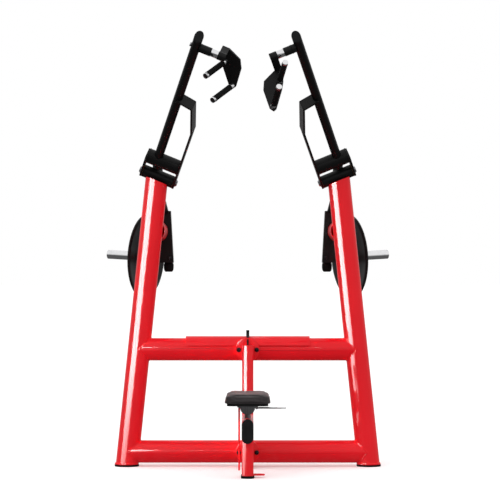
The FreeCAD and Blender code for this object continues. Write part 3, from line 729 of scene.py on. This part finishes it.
def bumper(name):
    """A rubber bumper on a stud, with a nut above it inside the carrier's edge."""
    corners = islands(f"carrier_bumper_{name}")[0]
    low, high = corners.min(0), corners.max(0)
    radius, height = (high[0] - low[0]) / 2, high[2] - low[2]
    top = Vector(((low[0] + high[0]) / 2, (low[1] + high[1]) / 2, high[2]))
    profile = [(0, 0), (radius * 0.86, 0), (radius * 0.86, 3 * MM), (radius * 0.97, 5 * MM),
               (radius, height * 0.35), (radius * 0.96, height * 0.72),
               (radius * 0.80, height * 0.93), (radius * 0.62, height), (radius * 0.28, height),
               (radius * 0.24, height - 4 * MM), (0, height - 4 * MM)]
    piece(f"rubber_bumper_{name}", turned(profile, looking(top, -Z), 64), f"lever_{name}",
          "rubber", f"carrier_bumper_{name}", smooth=35)
    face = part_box(f"weight_carrier_{name}")[0].y
    side = SIDES[name]
    at = Vector((top.x - side * 8 * MM, face, top.z + 26 * MM))
    piece(f"carrier_nut_{name}", hexagon(looking(at, -Y), 17 * MM, 7 * MM), f"lever_{name}",
          "black_oxide")


GRIP_RADIUS = 14.5 * MM
GRIP_BORE = 10 * MM
GRIP_RINGS = 15
PLAIN_END = 10 * MM


def grips(name):
    """Moulded rubber sleeves with raised rings between two smooth collars."""
    sleeves = []
    root, collar = GRIP_RADIUS - 0.6 * MM, GRIP_RADIUS + 0.6 * MM
    rim = GRIP_RADIUS - 1.5 * MM
    for corners in islands(f"grip_sleeves_{name}"):
        start, direction, length = round_solid(corners)
        profile = [(GRIP_BORE, 0), (rim, 0), (collar, 2 * MM), (collar, 6 * MM), (root, 8 * MM)]
        pitch = (length - 2 * PLAIN_END) / GRIP_RINGS
        for ring in range(GRIP_RINGS):
            at = PLAIN_END + ring * pitch
            profile += [(root, at), (GRIP_RADIUS, at + pitch * 0.2),
                        (GRIP_RADIUS, at + pitch * 0.6), (root, at + pitch * 0.8)]
        profile += [(root, length - 8 * MM), (collar, length - 6 * MM),
                    (collar, length - 2 * MM), (rim, length), (GRIP_BORE, length),
                    (GRIP_BORE, 0)]
        sleeves.append(turned(profile, looking(start, direction), 48))
    piece(f"ringed_grips_{name}", joined(*sleeves), f"handle_{name}", "rubber",
          f"grip_sleeves_{name}", smooth=28)


def lever_welds(name):
    """Beads where the cross tube meets the two side bars and at the hub, and the hub's bolt."""
    cross_reach, bar_face = 120 * MM, 82.4 * MM
    arm_offset, arm_radius, hub_root = 32 * MM, 22.5 * MM, 7.5 * MM
    centre, axis = joint_place(f"lever_{name}_pull")
    corners = islands(f"cross_tube_{name}")[0]
    middle = Vector(corners.mean(0))
    off = middle - axis * (middle - centre).dot(axis) - centre
    arm_line = off.normalized() * cross_reach
    for way, label in ((-1, "outer"), (1, "inner")):
        at = centre + arm_line + axis * way * bar_face
        bead(f"cross_weld_{label}_{name}", ring_points(looking(at, axis), 37.6 * MM), 2.2 * MM,
             f"lever_{name}")
    hub, hub_axis = joint_place(f"handle_{name}_swivel")
    at = hub - hub_axis * hub_root
    bead(f"hub_weld_{name}", ring_points(looking(at, hub_axis), 21.2 * MM), 1.6 * MM,
         f"lever_{name}")
    # the bolt's head sinks a millimetre into the round arm
    outer = hub - hub_axis * (arm_offset + arm_radius - MM)
    piece(f"hub_bolt_{name}", hexagon(looking(outer, -hub_axis), 19 * MM, 8 * MM),
          f"lever_{name}", "zinc")


# ---- seat --------------------------------------------------------------------------------

CUSHION_INSET = 3 * MM
VOXEL = 5 * MM
GLUED_DEPTH = 7 * MM
CLOTH_PRESSURE = 4.0
CLOTH_FRAMES = 20
CLOTH_LIMIT = 7 * MM
STITCH_BORDER = 24 * MM
STITCH_WIDTH = 5 * MM
STITCH_DEPTH = 1.8 * MM
WELT_INSET = 3.4 * MM
WELT_CORNER = 26.5 * MM


def cushion_form(low, high, inset):
    """A chamfered pad, a little smaller than the space it fills."""
    size = high - low
    centre = (low + high) / 2
    bm = bmesh.new()
    bmesh.ops.create_cube(bm, size=1)
    bmesh.ops.scale(bm, vec=(size.x - 2 * inset, size.y - 2 * inset, size.z - inset),
                    verts=bm.verts)
    upright = [e for e in bm.edges if abs(e.verts[0].co.z - e.verts[1].co.z) > size.z * 0.5]
    bmesh.ops.bevel(bm, geom=upright, offset=26 * MM, affect="EDGES", segments=6, profile=0.5,
                    material=-1)
    top = [e for e in bm.edges if all(v.co.z > 0 for v in e.verts)
           and any(abs(f.normal.z) < 0.5 for f in e.link_faces)]
    bmesh.ops.bevel(bm, geom=top, offset=9 * MM, affect="EDGES", segments=3, profile=0.5,
                    material=-1)
    bmesh.ops.translate(bm, vec=centre - Z * inset / 2, verts=bm.verts)
    return bm


def swell(made):
    """Puff the cushion up with cloth under pressure, and cap how far it moves."""
    remesh = made.modifiers.new("even", "REMESH")
    remesh.mode = "VOXEL"
    remesh.voxel_size = VOXEL
    apply_all(made)
    base = min(v.co.z for v in made.data.vertices)
    before = [v.co.copy() for v in made.data.vertices]
    glued = made.vertex_groups.new(name="glued")
    glued.add([v.index for v in made.data.vertices if v.co.z < base + GLUED_DEPTH], 1.0, "REPLACE")
    cloth = made.modifiers.new("puff", "CLOTH")
    cloth.settings.use_pressure = True
    cloth.settings.uniform_pressure_force = CLOTH_PRESSURE
    cloth.settings.effector_weights.gravity = 0.0
    cloth.settings.vertex_group_mass = "glued"
    cloth.settings.quality = 5
    cloth.point_cache.frame_start = 1
    cloth.point_cache.frame_end = CLOTH_FRAMES
    for number in range(1, CLOTH_FRAMES + 1):
        bpy.context.scene.frame_set(number)
    apply_all(made)
    for vert, rest in zip(made.data.vertices, before):
        move = vert.co - rest
        if move.length > CLOTH_LIMIT:
            vert.co = rest + move.normalized() * CLOTH_LIMIT
    bpy.context.scene.frame_set(1)


def apply_all(made):
    """Bake the modifiers of a piece into its mesh."""
    bpy.context.view_layer.update()
    seen = made.evaluated_get(bpy.context.evaluated_depsgraph_get())
    mesh = bpy.data.meshes.new_from_object(seen)
    old = made.data
    made.modifiers.clear()
    made.data = mesh
    bpy.data.meshes.remove(old)


def seat_cushion():
    """Foam under vinyl: crowned top, welted lower edge and a stitched border."""
    low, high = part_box("seat_cushion")
    made = piece("upholstered_cushion", cushion_form(low, high, CUSHION_INSET), "seat", "vinyl",
                 "seat_cushion", smooth=180)
    swell(made)
    sew_channels(made, low, high)
    subdivide = made.modifiers.new("soft", "SUBSURF")
    subdivide.levels = 1
    subdivide.render_levels = 1
    for polygon in made.data.polygons:
        polygon.use_smooth = True
    if not made.data.materials:
        made.data.materials.append(FINISHES["vinyl"])
    welt(low, high)


def sew_channels(made, low, high):
    """Press a stitched border line into the top."""
    centre = (low + high) / 2
    half = (high - low) / 2
    for vert in made.data.vertices:
        if vert.co.z < centre.z:
            continue
        edge = min(half.x - STITCH_BORDER - abs(vert.co.x - centre.x),
                   half.y - STITCH_BORDER - abs(vert.co.y - centre.y))
        vert.co.z -= STITCH_DEPTH * max(0.0, 1 - (edge / STITCH_WIDTH) ** 2)


def welt(low, high):
    """The piped cord sewn round the cushion's lower edge."""
    centre = (low + high) / 2
    half = (high - low) / 2 - Vector((WELT_INSET, WELT_INSET, 0))
    points = []
    for quarter in range(4):
        sx = 1 if quarter in (0, 3) else -1
        sy = 1 if quarter in (0, 1) else -1
        middle = Vector((centre.x + sx * (half.x - WELT_CORNER),
                         centre.y + sy * (half.y - WELT_CORNER), low.z + 3.5 * MM))
        for step in range(9):
            angle = pi / 2 * (quarter + step / 8)
            points.append(middle + Vector((cos(angle), sin(angle), 0)) * WELT_CORNER)
    bead("cushion_welt", points, 1.8 * MM, "seat", "vinyl")


def trip_lever():
    """A soft-edged plated paddle around the flat end of the release bar."""
    low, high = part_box("seat_trip_lever")
    paddle = bmesh.new()
    length, width, thick = 48 * MM, 18.5 * MM, 6.6 * MM
    bmesh.ops.create_cube(paddle, size=1)
    bmesh.ops.scale(paddle, vec=(length, width, thick), verts=paddle.verts)
    bmesh.ops.bevel(paddle, geom=paddle.edges[:], offset=2.6 * MM, affect="EDGES", segments=4,
                    profile=0.5, material=-1)
    z = (low.z + high.z) / 2
    bmesh.ops.translate(paddle, vec=(high.x - length / 2 + MM, (low.y + high.y) / 2, z),
                        verts=paddle.verts)
    piece("trip_paddle", paddle, "seat_trip", "chrome", smooth=60)


def seat_fixings():
    """Hexagon screws that hold the cushion board to the saddle."""
    low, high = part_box("seat_bracket")
    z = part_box("seat_board")[0].z
    screws = []
    for x in (low.x + 10 * MM, high.x - 10 * MM):
        for y in (low.y + 15 * MM, high.y - 15 * MM):
            at = Vector((x, y, z - 11 * MM))
            screws.append(hexagon(looking(at, -Z), 10 * MM, 4 * MM))
    piece("board_screws", joined(*screws), "seat", "zinc")


strip_card = set_the_stage()
rail_welds()
foot_welds()
domed_bolts()
capped_end()
ribbed_feet()
stop_pads()
for side_name in SIDES:
    guard_disc(side_name)
    axle_ends(side_name)
    bumper(side_name)
    grips(side_name)
    lever_welds(side_name)
seat_cushion()
trip_lever()
seat_fixings()
keep_shapes(replaced_nodes())
shine_only_on(strip_card, "red_paint")
